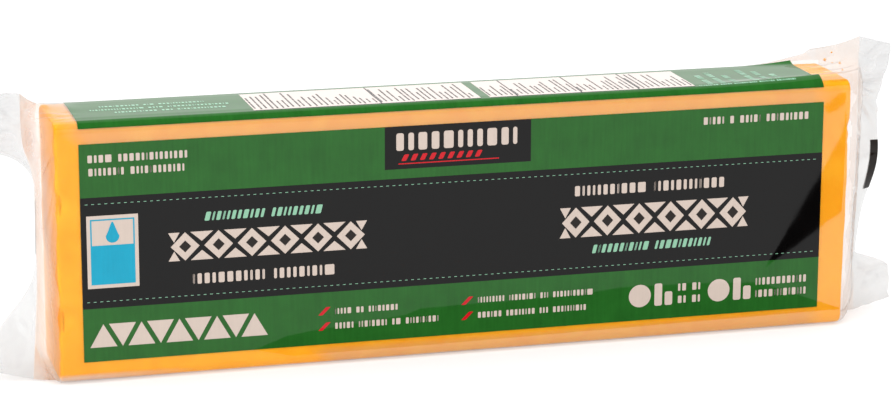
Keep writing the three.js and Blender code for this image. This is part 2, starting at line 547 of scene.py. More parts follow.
def noise_value(tree, place, scale, detail, roughness=0.6, distortion=0.0):
    node = add_node(
        tree,
        "ShaderNodeTexNoise",
        Vector=place,
        Scale=scale,
        Detail=detail,
        Roughness=roughness,
        Distortion=distortion,
    )
    return node.outputs["Fac"]


def relief(tree, height, strength, distance):
    """The normal of a surface with a fine relief."""
    node = add_node(tree, "ShaderNodeBump", Height=height, Strength=strength, Distance=distance)
    return node.outputs["Normal"]


def set_surface(tree, shader):
    add_node(tree, "ShaderNodeOutputMaterial", Surface=shader)


def group_tree(name, inputs, outputs):
    """An empty shader node group with named sockets, and the outputs of its input node."""
    tree = bpy.data.node_groups.new(name, "ShaderNodeTree")
    for socket, value in inputs.items():
        kind = NUMBER if isinstance(value, float) else COLOUR
        made = tree.interface.new_socket(socket, in_out="INPUT", socket_type=kind)
        made.default_value = value
    for socket, kind in outputs.items():
        tree.interface.new_socket(socket, in_out="OUTPUT", socket_type=kind)
    return tree, tree.nodes.new("NodeGroupInput").outputs


def place_group(tree, make_group, name, **values):
    """The outputs of a shared group's node; the group is made when it is first needed."""
    node = tree.nodes.new("ShaderNodeGroup")
    node.node_tree = bpy.data.node_groups.get(name) or make_group(name)
    for socket, value in values.items():
        plug(tree, value, node.inputs[socket])
    return node.outputs


# Shared effects

def film_ripple_group(name):
    """Height of the film's slow ripples and fine crinkle, and how cloudy it is."""
    tree, given = group_tree(name, {"Slow": 1.0, "Fine": 0.2}, {"Height": NUMBER, "Cloud": NUMBER})
    place = object_place(tree)
    slow = noise_value(tree, place, scale=38.0, detail=2.0, roughness=0.5)
    fine = noise_value(tree, place, scale=260.0, detail=3.0, roughness=0.55)
    ripples = calculate(tree, "MULTIPLY", slow, given["Slow"])
    height = calculate(tree, "MULTIPLY_ADD", fine, given["Fine"], ripples)
    cloud = ramp(tree, slow, 0.3, 0.7, low=0.5, high=1.5)
    add_node(tree, "NodeGroupOutput", Height=height, Cloud=cloud)
    return tree


# How closely the ink's streaks lie along, across and up the block
STREAK_SCALE = (900.0, 60.0, 60.0)


def ink_grain_group(name):
    """Ink laid on film: fine streaks along the print's height and a soft mottle."""
    inputs = {"Ink": (0.5, 0.5, 0.5, 1.0), "Streaks": 0.2}
    tree, given = group_tree(name, inputs, {"Color": COLOUR, "Roughness": NUMBER})
    place = object_place(tree)
    stretched = add_node(tree, "ShaderNodeMapping", Vector=place, Scale=STREAK_SCALE).outputs["Vector"]
    streaks = noise_value(tree, stretched, scale=1.0, detail=3.0)
    mottle = noise_value(tree, place, scale=120.0, detail=4.0)
    level = ramp(tree, calculate(tree, "ADD", streaks, mottle), 0.6, 1.4, low=-0.5, high=0.5)
    amount = calculate(tree, "MULTIPLY_ADD", level, given["Streaks"], 1.0)
    shade = tree.nodes.new("ShaderNodeVectorMath")
    shade.operation = "SCALE"
    plug(tree, given["Ink"], shade.inputs[0])
    plug(tree, amount, shade.inputs["Scale"])
    rough = ramp(tree, mottle, 0.0, 1.0, low=0.02, high=0.06)
    add_node(tree, "NodeGroupOutput", Color=shade.outputs["Vector"], Roughness=rough)
    return tree


def curd_group(name):
    """Cheddar's faint marbling and its smooth, slightly pitted cut surface."""
    inputs = {"Body": (0.9, 0.4, 0.02, 1.0), "Pale": (1.0, 0.5, 0.06, 1.0)}
    tree, given = group_tree(name, inputs, {"Color": COLOUR, "Roughness": NUMBER, "Height": NUMBER})
    place = object_place(tree)
    marble = noise_value(tree, place, scale=55.0, detail=5.0, distortion=1.2)
    colour = blend(tree, "RGBA", ramp(tree, marble, 0.4, 0.7), given["Body"], given["Pale"])
    pits = noise_value(tree, place, scale=700.0, detail=3.0)
    rough = ramp(tree, pits, 0.0, 1.0, low=0.35, high=0.6)
    add_node(tree, "NodeGroupOutput", Color=colour, Roughness=rough, Height=pits)
    return tree


# Where the film goes from clinging to loose, past a slanted line, where past the front's fields it
# has haze and a painted sheen, where it gathers and takes a painted warm glow off the left end,
# and where its foot shines
CLING = {"slope": 1.03, "tight": -53 * MM, "loose": -45 * MM}
EDGE_HAZE_AND_SHEEN = {"middle": 46 * MM, "from": 39 * MM, "full": 41 * MM, "right_inside": 5 * MM, "right_past": 3 * MM}
GATHER = {"from": -148 * MM, "to": -152 * MM}
# The painted warm glow lies on the free film beside the block's left end
GLOW = {"inside": -145.5 * MM, "end": -147 * MM, "near": -148.5 * MM, "far": -153 * MM}
FOOT = {"high": 3.8 * MM, "full": 2.4 * MM, "from": -95 * MM, "to": -135 * MM}


def film_fit_group(name):
    """How the film fits: its reflection where it clings and where it is loose, and its haze.

    It clings at the block's left end and along the lower edge from there. Along the long edges, past
    the front's fields, it has haze and a painted sheen that stands in for the reflection there. It is
    hazier where it gathers off the left end, and beside that end it takes a painted warm glow that
    stands in for the cheddar's light."""
    tree, given = group_tree(
        name,
        {"Tight": 0.04, "Loose": 0.12, "Gather": 1.0, "Foot": 0.0},
        {"Mirror": NUMBER, "Edges": NUMBER, "Gathered": NUMBER, "Glow": NUMBER},
    )
    place = add_node(tree, "ShaderNodeSeparateXYZ", Vector=object_place(tree)).outputs
    x, z = place["X"], place["Z"]
    slanted = calculate(tree, "MULTIPLY_ADD", z, CLING["slope"], x)
    loose = ramp(tree, slanted, CLING["tight"], CLING["loose"])
    mirror = blend(tree, "FLOAT", loose, given["Tight"], given["Loose"])
    low = ramp(tree, z, FOOT["high"], FOOT["full"])
    foot = ramp(tree, x, FOOT["from"], FOOT["to"], high=given["Foot"])
    shine = calculate(tree, "MULTIPLY", low, foot)
    short = ramp(tree, x, FIELD["right"] + EDGE_HAZE_AND_SHEEN["right_past"], FIELD["right"] - EDGE_HAZE_AND_SHEEN["right_inside"])
    between = calculate(tree, "MULTIPLY", loose, short)
    away = calculate(tree, "ABSOLUTE", calculate(tree, "SUBTRACT", z, EDGE_HAZE_AND_SHEEN["middle"]))
    # Where the free film takes the painted warm glow, beside the block's left end
    beside = ramp(tree, x, GLOW["far"], GLOW["near"])
    past = ramp(tree, x, GLOW["inside"], GLOW["end"])
    add_node(
        tree,
        "NodeGroupOutput",
        Mirror=calculate(tree, "MAXIMUM", mirror, shine),
        Edges=ramp(tree, away, EDGE_HAZE_AND_SHEEN["from"], EDGE_HAZE_AND_SHEEN["full"], high=between),
        Gathered=ramp(tree, x, GATHER["from"], GATHER["to"], low=1.0, high=given["Gather"]),
        Glow=calculate(tree, "MULTIPLY", beside, past),
    )
    return tree


# Materials

# The film's finishes. It reflects the shares tight where it clings, loose where it doesn't and
# foot at its foot by the left end, both faces alike, with a roughness. What passes it is dimmed
# to the share clear. It scatters the share haze, all over or, with no gather, along the long
# edges only, where on the cheddar that scatter is partly a painted sheen for the reflection there,
# and gather is how many times hazier it is where it gathers off the left end.
# Slow and fine are the heights of its ripples and its crinkle, and bump the strength of both.
FILM_ON_CHEDDAR = {
    "tight": 0.035, "loose": 0.09, "foot": 0.4, "roughness": 0.03, "clear": 0.985,
    "haze": 0.15, "gather": 0.0, "slow": 0.5, "fine": 0.02, "bump": 0.2,
}
FILM_WEB = {
    "tight": 0.06, "loose": 0.06, "foot": 0.0, "roughness": 0.12, "clear": 0.93,
    "haze": 0.23, "gather": 2.2, "slow": 0.6, "fine": 0.05, "bump": 0.35,
}
FILM_SEAL = {
    "tight": 0.06, "loose": 0.06, "foot": 0.0, "roughness": 0.12, "clear": 0.915,
    "haze": 0.28, "gather": 1.0, "slow": 0.4, "fine": 0.08, "bump": 0.5,
}

# The depth of the film's relief, and the power by which its reflection grows at a slant
FILM_RELIEF = 0.4 * MM
FRESNEL_POWER = 5.0

# The inks' ripples, crinkle, relief and gloss
INK = {"slow": 0.5, "fine": 0.02, "bump": 0.25, "ior": 1.335}

# The cheddar's pits and gloss, and the light that it scatters inside
CURD = {"bump": 0.25, "pit_depth": 0.2 * MM, "specular": 0.15}
CURD_SCATTER = {"weight": 0.25, "radius": (1.0, 0.45, 0.1), "scale": 3 * MM}


def film_normal(tree, ripple, bump):
    return relief(tree, ripple["Height"], bump, FILM_RELIEF)


def film_material(name, finish, milk, glow=None):
    """Clear film: what it doesn't reflect passes through, a little dimmed.

    milk is the colour that it scatters, which on the cheddar is partly a painted sheen along the long
    edges and on the free film is warmed by painted light from the cheddar, and glow the painted warm
    glow that it turns to next to the block's left end."""
    material, tree = new_material(name)
    ripple = place_group(tree, film_ripple_group, "film ripple", Slow=finish["slow"], Fine=finish["fine"])
    fit = place_group(
        tree,
        film_fit_group,
        "film fit",
        Tight=finish["tight"],
        Loose=finish["loose"],
        Gather=finish["gather"],
        Foot=finish["foot"],
    )
    normal = film_normal(tree, ripple, finish["bump"])
    facing = add_node(tree, "ShaderNodeLayerWeight", Blend=0.5, Normal=normal).outputs["Facing"]
    slope = calculate(tree, "POWER", facing, FRESNEL_POWER)
    share = blend(tree, "FLOAT", slope, fit["Mirror"], 1.0)
    gloss = add_node(tree, "ShaderNodeBsdfGlossy", Roughness=finish["roughness"], Normal=normal)
    clear = add_node(tree, "ShaderNodeBsdfTransparent", Color=opaque([finish["clear"]] * 3))
    cloudy = add_node(tree, "ShaderNodeBsdfDiffuse", Color=opaque(milk), Normal=normal)
    # Next to the block's left end the scattered colour turns to the painted warm glow
    if glow:
        warmed = blend(tree, "RGBA", fit["Glow"], opaque(milk), opaque(glow))
        plug(tree, warmed, cloudy.inputs["Color"])
    # On the film over the cheddar the scatter lies along the long edges and over the top, partly haze and
    # partly a painted sheen for the reflection there
    haze_and_sheen_share = fit["Edges"]
    if finish["gather"]:
        haze_and_sheen_share = calculate(tree, "MULTIPLY", ripple["Cloud"], fit["Gathered"])
    scatter = calculate(tree, "MULTIPLY", haze_and_sheen_share, finish["haze"], clamp=True)
    body = blend_shaders(tree, scatter, clear.outputs["BSDF"], cloudy.outputs["BSDF"])
    set_surface(tree, blend_shaders(tree, share, body, gloss.outputs["BSDF"]))
    return material


def ink_material(name, colour, streaks):
    """Glossy ink on the film, with its streaks."""
    material, tree = new_material(name)
    grain = place_group(tree, ink_grain_group, "ink grain", Ink=opaque(colour), Streaks=streaks)
    ripple = place_group(tree, film_ripple_group, "film ripple", Slow=INK["slow"], Fine=INK["fine"])
    shader = add_node(
        tree,
        "ShaderNodeBsdfPrincipled",
        Base_Color=grain["Color"],
        Roughness=grain["Roughness"],
        Normal=film_normal(tree, ripple, INK["bump"]),
        IOR=INK["ior"],
    )
    set_surface(tree, shader.outputs["BSDF"])
    return material


def cheddar_material(name, body, pale):
    """Waxy cheddar that lets a little light in."""
    material, tree = new_material(name)
    curd = place_group(tree, curd_group, "curd", Body=opaque(body), Pale=opaque(pale))
    shader = add_node(
        tree,
        "ShaderNodeBsdfPrincipled",
        Base_Color=curd["Color"],
        Roughness=curd["Roughness"],
        Normal=relief(tree, curd["Height"], CURD["bump"], CURD["pit_depth"]),
        Specular_IOR_Level=CURD["specular"],
        Subsurface_Weight=CURD_SCATTER["weight"],
        Subsurface_Radius=CURD_SCATTER["radius"],
        Subsurface_Scale=CURD_SCATTER["scale"],
    )
    set_surface(tree, shader.outputs["BSDF"])
    return material


# The print, drawn flat on the film's sheet and then wrapped round the block.
# A shape's first coordinate runs along the block, and its second is the way round.

# A step wider than any bar, which makes it a single face
ONE_FACE = 1.0

# A line's small marks, in shares of its height, and the least room for one, in gaps
MARK = {"gap": 0.26, "space": 0.62, "narrow": 0.4, "wide": 0.85, "corner": 0.12}
LEAST_GAPS = 1.5

# Sides of a disc and steps round a mark's corner
ROUND_SIDES = 32
CORNER_SEGMENTS = 3


class Sheet:
    """One ink's shapes, all on one layer."""

    def __init__(self, sizes):
        self.sizes = sizes
        self.section = Section(sizes)
        self.bm = bmesh.new()

    def field(self, left, right, low, high, step, rise=None):
        """A rectangle with enough faces to bend with the film, each a step wide and a rise high."""
        across = max(1, math.ceil((right - left) / step))
        up = max(1, math.ceil((high - low) / (rise or step)))
        made = bmesh.ops.create_grid(self.bm, x_segments=across, y_segments=up, size=0.5)["verts"]
        self.set_down(made, ((left + right) / 2, (low + high) / 2), right - left, high - low)
        return made

    def set_down(self, verts, centre, width, height):
        """Stretches a shape of size 1 to a width and a height, and moves it to its centre."""
        size = Matrix.Diagonal((width, height, 1.0, 1.0))
        bmesh.ops.transform(self.bm, matrix=Matrix.Translation((*centre, 0.0)) @ size, verts=verts)

    def bar(self, left, right, low, high, corner=0.0, slant=0.0):
        """A small rectangle with rounded corners, leaning to the right by a slant."""
        made = self.field(left, right, low, high, ONE_FACE)
        for vert in made:
            vert.co.x += slant * (vert.co.y - low)
        if corner:
            round_off(self.bm, made, corner, CORNER_SEGMENTS, "VERTICES")

    def shape(self, sides, centre, width, height):
        """A disc or a regular polygon, stretched to a width and a height."""
        made = bmesh.ops.create_circle(self.bm, cap_ends=True, segments=sides, radius=0.5)["verts"]
        self.set_down(made, centre, width, height)
        return made

    def drop(self, centre, width, height):
        """A drop with a round foot and a pointed top."""
        for vert in self.shape(ROUND_SIDES, centre, width, width):
            above = max(0.0, (vert.co.y - centre[1]) / (width / 2))
            vert.co.x = mix(vert.co.x, centre[0], DROP["taper"] * above)
            vert.co.y += (height - width) * above ** DROP["point"]

    def wedge(self, left, right, low, high, points_up):
        """A triangle on a flat side."""
        made = bmesh.ops.create_circle(self.bm, cap_ends=True, segments=3, radius=0.5)["verts"]
        tip = (left + right) / 2
        corners = [(left, low), (right, low), (tip, high)]
        if not points_up:
            corners = [(right, high), (left, high), (tip, low)]
        for vert, corner in zip(made, corners):
            vert.co = (*corner, 0.0)

    def blocks(self, rng, left, right, low, high, groups, slant=0.0, turned=False):
        """A line of small marks in a few groups, as long as the line; turned, it runs the way round."""
        tall = high - low
        gap = tall * MARK["gap"]
        space = tall * MARK["space"]
        unit = (right - left - space * (len(groups) - 1)) / sum(groups)
        x = left
        for group in groups:
            finish = x + unit * group
            while finish - x > gap * LEAST_GAPS:
                width = min(tall * rng.uniform(MARK["narrow"], MARK["wide"]), finish - x)
                if finish - x - width < tall * MARK["narrow"]:
                    width = finish - x
                if turned:
                    self.bar(low, high, x, x + width - gap)
                else:
                    self.bar(x, x + width - gap, low, high, corner=tall * MARK["corner"], slant=slant)
                x += width
            x = finish + space

    def to_back(self):
        """Repeats the front's shapes on the back, turned half round about the upright axis."""
        made = bmesh.ops.duplicate(self.bm, geom=list(self.bm.faces))["geom"]
        for item in made:
            if isinstance(item, bmesh.types.BMVert):
                item.co.x = -item.co.x
                item.co.y = self.section.whole - item.co.y

    def wrap(self, layer):
        """Lays the shapes on the film; higher layers lie further out."""
        outside = self.sizes.ink_gap + layer * self.sizes.ink_step
        for vert in self.bm.verts:
            vert.co = film_on_block(self.sizes, self.section, vert.co.x, vert.co.y, outside)
        return self.bm


# The large fields, in heights on the front and in depths on the top and the base
FIELD = {"left": -139 * MM, "right": 137.5 * MM, "low": 7.7 * MM, "high": 86.3 * MM}
BAND = {"low": 27.1 * MM, "high": 67.2 * MM}
BOX = {"left": -29.8 * MM, "right": 24.5 * MM, "low": 70.7 * MM}
TOP_FIELD = {"front_edge": 91.8 * MM, "back": 15 * MM}
BASE_FIELD = 12 * MM
PANELS = ((-76 * MM, 7 * MM), (10.5 * MM, 88.5 * MM))
PANEL_DEPTH = (-14.5 * MM, 12.5 * MM)

# Sizes of the faces that bend with the film
FRONT_STEP = 10 * MM
BASE_STEP = 8 * MM
PANEL_STEP = 6 * MM
TOP_STEP = 1.5 * MM
TOP_RISE = 0.4 * MM

# The badge at the band's left, and the drop in it
BADGE = {"left": -137 * MM, "right": -118.8 * MM, "low": 34.4 * MM, "high": 60.6 * MM}
BADGE_RIM = 1.3 * MM
BADGE_LINE = 0.5 * MM
BADGE_SPLIT = 0.6
DROP = {"rise": 3.2 * MM, "width": 4.8 * MM, "height": 7.6 * MM, "taper": 0.45, "point": 2.5}

# The rows of diamonds in the band: left, right, low, high and their number. Wedges stand
# between the diamonds, and each diamond has a dark heart, in shares of its own size.
DIAMOND_ROWS = (
    (-108.3 * MM, -36.4 * MM, 42.4 * MM, 52.7 * MM, 6),
    (35.8 * MM, 108.8 * MM, 41 * MM, 52.3 * MM, 6),
)
DIAMOND_WIDTH = 0.86
WEDGE_HALF_WIDTH = 0.34
LOWER_WEDGE_TIP = 0.34
UPPER_WEDGE_TIP = 0.66
HEART_WIDTH = 0.36
HEART_HEIGHT = 0.42

# Dashes along the band's borders
DASH = {"length": 1.0 * MM, "pitch": 2.3 * MM, "height": 0.2 * MM, "inset": 2.3 * MM, "ends": 1.6 * MM}

# Cream lines on the front, in millimetres: left, right, low, high and the groups' lengths
CREAM_LINES = (
    (-136, -100.3, 79.6, 82.3, (4, 11)),
    (-135.8, -101.4, 74.9, 77.6, (6, 9)),
    (90.5, 132.2, 80.3, 83.1, (4, 1, 4, 8)),
    (-99.7, -47.5, 33.6, 37.4, (7, 6)),
    (41.4, 100, 56.5, 60.3, (7, 7)),
    (-48.3, -24.6, 18.7, 20.9, (4, 2, 7)),
    (-48.3, -9.3, 13.2, 15.5, (4, 6, 2, 7)),
    (5, 49.3, 19, 21.2, (6, 6, 2, 9)),
    (5, 46.8, 13.3, 15.5, (5, 6, 2, 7)),
    (82, 91.4, 17.9, 20.7, (2, 2)),
    (82, 91.4, 13.2, 16, (2, 2)),
    (112.6, 133.4, 17.9, 20.7, (8,)),
    (112.6, 133.4, 13.2, 16, (8,)),
    (-25.6, 21, 77.4, 83.8, (8,)),
)

# The cream row of wedges, and the discs with two bars beside each, in millimetres. A bar has
# its left and right from the disc's left, its low and its high.
ZIGZAG = {"left": -135.3, "right": -74.4, "low": 12.9, "high": 21.3, "count": 9, "overlap": 1.4}
DISC = {"lefts": (62.8, 93.7), "middle": 17, "size": 8.6}
DISC_BARS = ((10, 13, 12.8, 21.3), (14, 17, 12.8, 18))
DISC_BAR_CORNER = 0.7 * MM

# Pale green lines, in millimetres: in the band with left, right, low and groups, on the top
# with front, left and right, and turned on the top's right with left and length
BAND_LINES = ((-95.3, -52.5, 56.4, (7, 6)), (48.2, 94.6, 34.6, (7, 7)))
BAND_LINE_HEIGHT = 3.2
BAND_LINE_SLANT = 0.25
TOP_LINES = ((-7, -124, -84), (-2, -132, -82), (3, -128, -90))
TOP_LINE_HEIGHT = 2
TOP_LINE_GROUPS = (7, 2, 8)
COLUMNS = ((94, 16), (99, 20), (104, 14), (112, 22), (117, 18), (122, 12))
COLUMN_FRONT = -13
COLUMN_WIDTH = 2.2
COLUMN_GROUPS = (6, 5)
EDGE_LINE = {"left": 90, "right": 128, "front": -15.4, "height": 1.2, "groups": (5, 3, 6, 4, 5)}

# Red marks before the lines at the foot, and the row and the rule in the box, in millimetres
RED_MARKS = {"lefts": (-54.6, -1.4), "lows": (18.6, 12.9), "width": 1.7, "height": 3}
RED_MARK_CORNER = 0.35 * MM
RED_MARK_SLANT = 1.0
RED_ROW = {"count": 9, "inset": 6, "pitch": 3.4, "width": 1.8, "low": 73.6, "high": 76}
RED_ROW_CORNER = 0.4 * MM
RED_ROW_SLANT = 0.5
RED_RULE = {"left_inset": 5, "right_inset": 12, "low": 72.4, "high": 72.8}

# Dark columns of marks on the panels. Each stands at a random share of its pitch, starts a
# random way behind the front and ends at a random share of the depth. Now and then a rule
# stands before one.
PANEL_PITCH = 2.0 * MM
PANEL_COLUMN_PLACE = (0.15, 0.45)
PANEL_COLUMN_START = (1 * MM, 3 * MM)
PANEL_COLUMN_END = (0.3, 0.97)
PANEL_COLUMN_WIDTH = 0.34
PANEL_COLUMN_GROUPS = ((4, 3, 5), (5, 6), (3, 1, 2))
PANEL_RULE = 0.5 * MM
PANEL_RULE_CHANCE = 0.1


def draw_green(sheet):
    sec = sheet.section
    left, right = FIELD["left"], FIELD["right"]
    sheet.field(left, right, sec.on_front(FIELD["low"]), sec.on_front(FIELD["high"]), FRONT_STEP)
    sheet.to_back()
    front, back = sec.on_front(TOP_FIELD["front_edge"]), sec.on_top(TOP_FIELD["back"])
    sheet.field(left, right, front, back, TOP_STEP, TOP_RISE)
    sheet.field(left, right, sec.whole - BASE_FIELD, sec.whole + BASE_FIELD, BASE_STEP)


def draw_charcoal(sheet):
    up = sheet.section.on_front
    sheet.field(FIELD["left"], FIELD["right"], up(BAND["low"]), up(BAND["high"]), FRONT_STEP)
    sheet.bar(BOX["left"], BOX["right"], up(BOX["low"]), up(FIELD["high"]))
    sheet.to_back()


def draw_pale_green(sheet, rng):
    up, top = sheet.section.on_front, sheet.section.on_top
    count = int((FIELD["right"] - FIELD["left"] - 2 * DASH["ends"]) / DASH["pitch"])
    for low in (BAND["low"] + DASH["inset"], BAND["high"] - DASH["inset"] - DASH["height"]):
        for i in range(count + 1):
            x = FIELD["left"] + DASH["ends"] + i * DASH["pitch"]
            sheet.bar(x, x + DASH["length"], up(low), up(low + DASH["height"]))
    for left, right, low, groups in BAND_LINES:
        foot = up(low * MM)
        head = foot + BAND_LINE_HEIGHT * MM
        sheet.blocks(rng, left * MM, right * MM, foot, head, groups, slant=BAND_LINE_SLANT)
    sheet.to_back()
    for y, left, right in TOP_LINES:
        front, back = top(y * MM), top((y + TOP_LINE_HEIGHT) * MM)
        sheet.blocks(rng, left * MM, right * MM, front, back, TOP_LINE_GROUPS)
    for x, depth in COLUMNS:
        front = top(COLUMN_FRONT * MM)
        left, right = x * MM, (x + COLUMN_WIDTH) * MM
        sheet.blocks(rng, front, front + depth * MM, left, right, COLUMN_GROUPS, turned=True)
    left, right = EDGE_LINE["left"] * MM, EDGE_LINE["right"] * MM
    front = top(EDGE_LINE["front"] * MM)
    sheet.blocks(rng, left, right, front, front + EDGE_LINE["height"] * MM, EDGE_LINE["groups"])


def draw_diamonds(sheet, wide, tall):
    """The rows of diamonds, at shares of their width and height."""
    up = sheet.section.on_front
    for left, right, low, high, count in DIAMOND_ROWS:
        pitch = (right - left) / count
        for i in range(count):
            centre = (left + pitch * (i + 0.5), up((low + high) / 2))
            sheet.shape(4, centre, pitch * wide, (high - low) * tall)


def draw_cream(sheet, rng):
    up = sheet.section.on_front
    for left, right, low, high, groups in CREAM_LINES:
        sheet.blocks(rng, left * MM, right * MM, up(low * MM), up(high * MM), groups)
    draw_diamonds(sheet, DIAMOND_WIDTH, 1.0)
    for left, right, low, high, count in DIAMOND_ROWS:
        pitch = (right - left) / count
        half = pitch * WEDGE_HALF_WIDTH
        for i in range(count + 1):
            edge = left + pitch * i
            start, finish = max(left, edge - half), min(right, edge + half)
            sheet.wedge(start, finish, up(low), up(mix(low, high, LOWER_WEDGE_TIP)), True)
            sheet.wedge(start, finish, up(mix(low, high, UPPER_WEDGE_TIP)), up(high), False)
    pitch = (ZIGZAG["right"] - ZIGZAG["left"]) / ZIGZAG["count"]
    low, high = up(ZIGZAG["low"] * MM), up(ZIGZAG["high"] * MM)
    for i in range(ZIGZAG["count"]):
        left = ZIGZAG["left"] + pitch * i
        start, finish = left - ZIGZAG["overlap"], left + pitch + ZIGZAG["overlap"]
        sheet.wedge(start * MM, finish * MM, low, high, i % 2 == 0)
    size = DISC["size"] * MM
    for left in DISC["lefts"]:
        centre = ((left + DISC["size"] / 2) * MM, up(DISC["middle"] * MM))
        sheet.shape(ROUND_SIDES, centre, size, size)
        for start, finish, low, high in DISC_BARS:
            start, finish = (left + start) * MM, (left + finish) * MM
            sheet.bar(start, finish, up(low * MM), up(high * MM), corner=DISC_BAR_CORNER)
    sheet.bar(BADGE["left"], BADGE["right"], up(BADGE["low"]), up(BADGE["high"]))
    sheet.to_back()


def draw_blue(sheet):
    up = sheet.section.on_front
    left, right = BADGE["left"] + BADGE_RIM, BADGE["right"] - BADGE_RIM
    low, high = BADGE["low"] + BADGE_RIM, BADGE["high"] - BADGE_RIM
    split = mix(low, high, BADGE_SPLIT)
    under_line = high - BADGE_LINE
    sheet.bar(left, right, up(low), up(split))
    sheet.bar(left, right, up(under_line), up(high))
    sheet.bar(left, left + BADGE_LINE, up(split), up(under_line))
    sheet.bar(right - BADGE_LINE, right, up(split), up(under_line))
    sheet.drop(((left + right) / 2, up(split + DROP["rise"])), DROP["width"], DROP["height"])
    sheet.to_back()


def draw_red(sheet):
    up = sheet.section.on_front
    width, height = RED_MARKS["width"] * MM, RED_MARKS["height"] * MM
    for left in RED_MARKS["lefts"]:
        for low in RED_MARKS["lows"]:
            x, z = left * MM, low * MM
            sheet.bar(x, x + width, up(z), up(z + height), RED_MARK_CORNER, RED_MARK_SLANT)
    low, high = up(RED_ROW["low"] * MM), up(RED_ROW["high"] * MM)
    for i in range(RED_ROW["count"]):
        left = BOX["left"] + (RED_ROW["inset"] + RED_ROW["pitch"] * i) * MM
        sheet.bar(left, left + RED_ROW["width"] * MM, low, high, RED_ROW_CORNER, RED_ROW_SLANT)
    left, right = BOX["left"] + RED_RULE["left_inset"] * MM, BOX["right"] - RED_RULE["right_inset"] * MM
    sheet.bar(left, right, up(RED_RULE["low"] * MM), up(RED_RULE["high"] * MM))
    sheet.to_back()


def draw_white(sheet):
    front, back = (sheet.section.on_top(y) for y in PANEL_DEPTH)
    for left, right in PANELS:
        sheet.field(left, right, front, back, PANEL_STEP, TOP_RISE)


def draw_dark_details(sheet, rng):
    """The dark hearts of the diamonds on the front, and on the panels marks, rules and a dark line along
    each front edge.
    """
    draw_diamonds(sheet, HEART_WIDTH, HEART_HEIGHT)
    sheet.to_back()
    front, back = (sheet.section.on_top(y) for y in PANEL_DEPTH)
    for left, right in PANELS:
        for column in range(int((right - left) / PANEL_PITCH)):
            x = left + (column + rng.uniform(*PANEL_COLUMN_PLACE)) * PANEL_PITCH
            start = front + rng.uniform(*PANEL_COLUMN_START)
            end = mix(front, back, rng.uniform(*PANEL_COLUMN_END))
            groups = rng.choice(PANEL_COLUMN_GROUPS)
            sheet.blocks(rng, start, end, x, x + PANEL_COLUMN_WIDTH * PANEL_PITCH, groups, turned=True)
            if rng.random() < PANEL_RULE_CHANCE:
                sheet.field(x - PANEL_RULE, x, front, back, PANEL_STEP, TOP_RISE)
        # A dark line along each panel's front edge
        sheet.field(left, right, front - PANEL_RULE, front, PANEL_STEP)


# Each ink's name, drawing, layer, slot and streaks
INKS = (
    ("green", draw_green, 0, "green_ink", 0.35),
    ("charcoal", draw_charcoal, 1, "charcoal_ink", 0.3),
    ("white", draw_white, 1, "cream_ink", 0.06),
    ("cream", draw_cream, 2, "cream_ink", 0.08),
    ("pale_green", draw_pale_green, 2, "cream_ink", 0.1),
    ("blue", draw_blue, 3, "cream_ink", 0.15),
    ("red", draw_red, 2, "cream_ink", 0.1),
    ("black", draw_dark_details, 3, "charcoal_ink", 0.1),
)
DRAWN_AT_RANDOM = {"cream", "pale_green", "black"}
REGISTER_STREAKS = 0.5


# Operators

# Cuts through the block: a close row and an open row in from each end, and rows up and across
CLOSE_CUTS = {"from": 0.0, "pitch": 1.25 * MM, "count": 15}
OPEN_CUTS = {"from": 20 * MM, "pitch": 12 * MM, "count": 10}
CUTS_UP = {"from": 4 * MM, "pitch": 1.45 * MM, "count": 59}
CUTS_ACROSS = {"pitch": 2.6 * MM, "half_count": 5}
CUT_REACH = 1e-6
END_FACING = 0.9
LONG_EDGE_SEGMENTS = 6
CUT_EDGE_SEGMENTS = 4

# Hollows over the block, which are deeper near its ends, and the stretch of the right end
# that leans out
HOLLOW = {"depth": 0.1 * MM, "at_end": 0.2 * MM, "end": 12 * MM, "scale": 90}
SLANTED_END = 30 * MM

# Chips on the end edges: the end, the face, the height, the radius and the depth
CHIPS = (
    (-1, -1, 65 * MM, 5 * MM, 2.4 * MM),
    (-1, -1, 23 * MM, 6 * MM, 2.4 * MM),
    (1, -1, 76 * MM, 3 * MM, 0.9 * MM),
    (1, -1, 71 * MM, 2.4 * MM, 0.5 * MM),
    (1, 1, 40 * MM, 3 * MM, 2 * MM),
)


